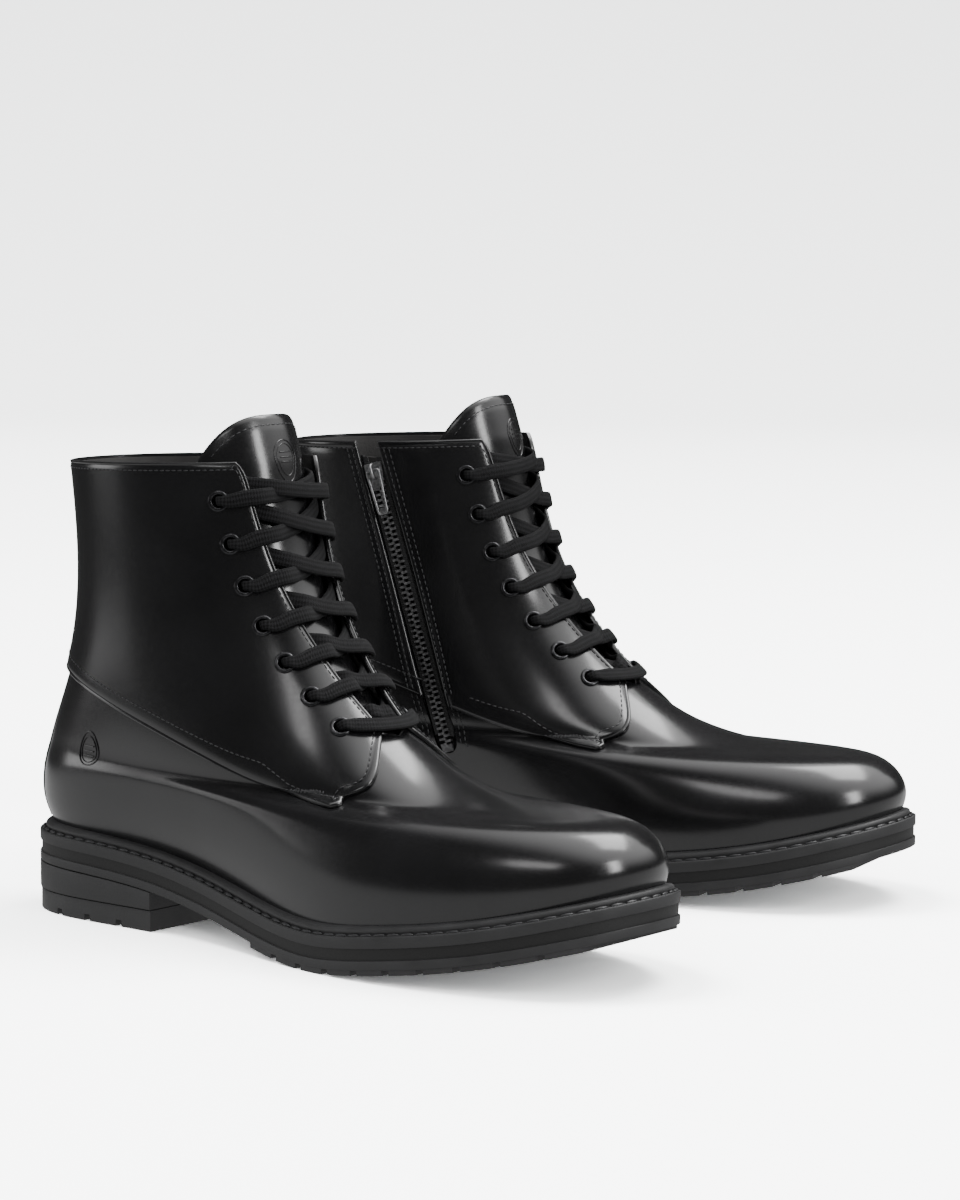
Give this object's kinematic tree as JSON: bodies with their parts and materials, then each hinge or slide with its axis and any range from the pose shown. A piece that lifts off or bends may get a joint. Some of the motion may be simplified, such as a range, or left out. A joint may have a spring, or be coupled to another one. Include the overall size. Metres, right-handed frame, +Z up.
{
  "type": "lace-up ankle boots",
  "caption": "Pair of black leather lace-up ankle boots with open-laced facings, a zip on the inner side, a stitched welt and a ridged rubber sole with block heel.",
  "frame": {"origin": "middle of the pair's footprint, on the ground", "axes": "+X towards the toes, +Y towards the left boot, +Z up"},
  "size_m": [0.304, 0.3028, 0.206],
  "materials": {
    "black_leather": "polished smooth leather",
    "grained_leather": "fine cross-ribbed grain",
    "lining_leather": "matt lining leather",
    "stiffener": "thermoplastic sheet",
    "fibre_board": "pressed fibre board",
    "spring_steel": "blued strip",
    "cork": "ground cork",
    "sole_rubber": "matt, moulded",
    "band_rubber": "darker matt band",
    "black_lacquer": "black lacquer, half gloss",
    "woven_lace": "flat woven cord",
    "zip_tape": "woven tape",
    "gunmetal": "dark nickel plate, worn bright at the edges"
  },
  "bodies": {
    "right_boot": {"right_vamp": "black_leather", "right_quarter_lateral": "black_leather", "right_quarter_medial_front": "black_leather", "right_quarter_medial_rear": "black_leather", "right_back_stay": "grained_leather", "right_tongue": "black_leather", "right_lining": "lining_leather", "right_heel_counter": "stiffener", "right_toe_puff": "stiffener", "right_insole_board": "fibre_board", "right_shank": "spring_steel", "right_filler": "cork", "right_footbed": "lining_leather", "right_welt": "sole_rubber", "right_midsole": "band_rubber", "right_outsole": "sole_rubber", "right_heel_block": "sole_rubber", "right_heel_lift": "sole_rubber", "right_eyelets_lateral": "black_lacquer", "right_eyelets_medial": "black_lacquer", "right_lace": "woven_lace", "right_zip_tape_front": "zip_tape", "right_zip_tape_rear": "zip_tape", "right_zip_teeth_front": "gunmetal", "right_zip_teeth_rear": "gunmetal", "right_zip_bottom_stop": "gunmetal", "right_zip_guard": "lining_leather"},
    "right_zip_slider": {"right_zip_slider": "gunmetal"},
    "right_zip_pull": {"right_zip_pull": "gunmetal"},
    "left_boot": {"left_vamp": "black_leather", "left_quarter_lateral": "black_leather", "left_quarter_medial_front": "black_leather", "left_quarter_medial_rear": "black_leather", "left_back_stay": "grained_leather", "left_tongue": "black_leather", "left_lining": "lining_leather", "left_heel_counter": "stiffener", "left_toe_puff": "stiffener", "left_insole_board": "fibre_board", "left_shank": "spring_steel", "left_filler": "cork", "left_footbed": "lining_leather", "left_welt": "sole_rubber", "left_midsole": "band_rubber", "left_outsole": "sole_rubber", "left_heel_block": "sole_rubber", "left_heel_lift": "sole_rubber", "left_eyelets_lateral": "black_lacquer", "left_eyelets_medial": "black_lacquer", "left_lace": "woven_lace", "left_zip_tape_front": "zip_tape", "left_zip_tape_rear": "zip_tape", "left_zip_teeth_front": "gunmetal", "left_zip_teeth_rear": "gunmetal", "left_zip_bottom_stop": "gunmetal", "left_zip_guard": "lining_leather"},
    "left_zip_slider": {"left_zip_slider": "gunmetal"},
    "left_zip_pull": {"left_zip_pull": "gunmetal"}
  },
  "joints": [
    {"name": "left_boot_lift", "type": "slide", "parent": "right_boot", "child": "left_boot", "axis": [0, 0, 1], "range_m": [0, 0.25]},
    {"name": "right_zip_slide", "type": "slide", "parent": "right_boot", "child": "right_zip_slider", "axis": [0.2857, -0.0304, -0.9578], "range_m": [0, 0.11]},
    {"name": "right_pull_swing", "type": "hinge", "parent": "right_zip_slider", "child": "right_zip_pull", "pos_m": [-0.07381, -0.04261, 0.17395], "axis": [0.9525, -0.1013, 0.2873], "range_deg": [0, 160]},
    {"name": "left_zip_slide", "type": "slide", "parent": "left_boot", "child": "left_zip_slider", "axis": [0.2857, 0.0304, -0.9578], "range_m": [0, 0.11]},
    {"name": "left_pull_swing", "type": "hinge", "parent": "left_zip_slider", "child": "left_zip_pull", "pos_m": [-0.07381, 0.04261, 0.17395], "axis": [-0.9525, -0.1013, -0.2873], "range_deg": [0, 160]}
  ]
}
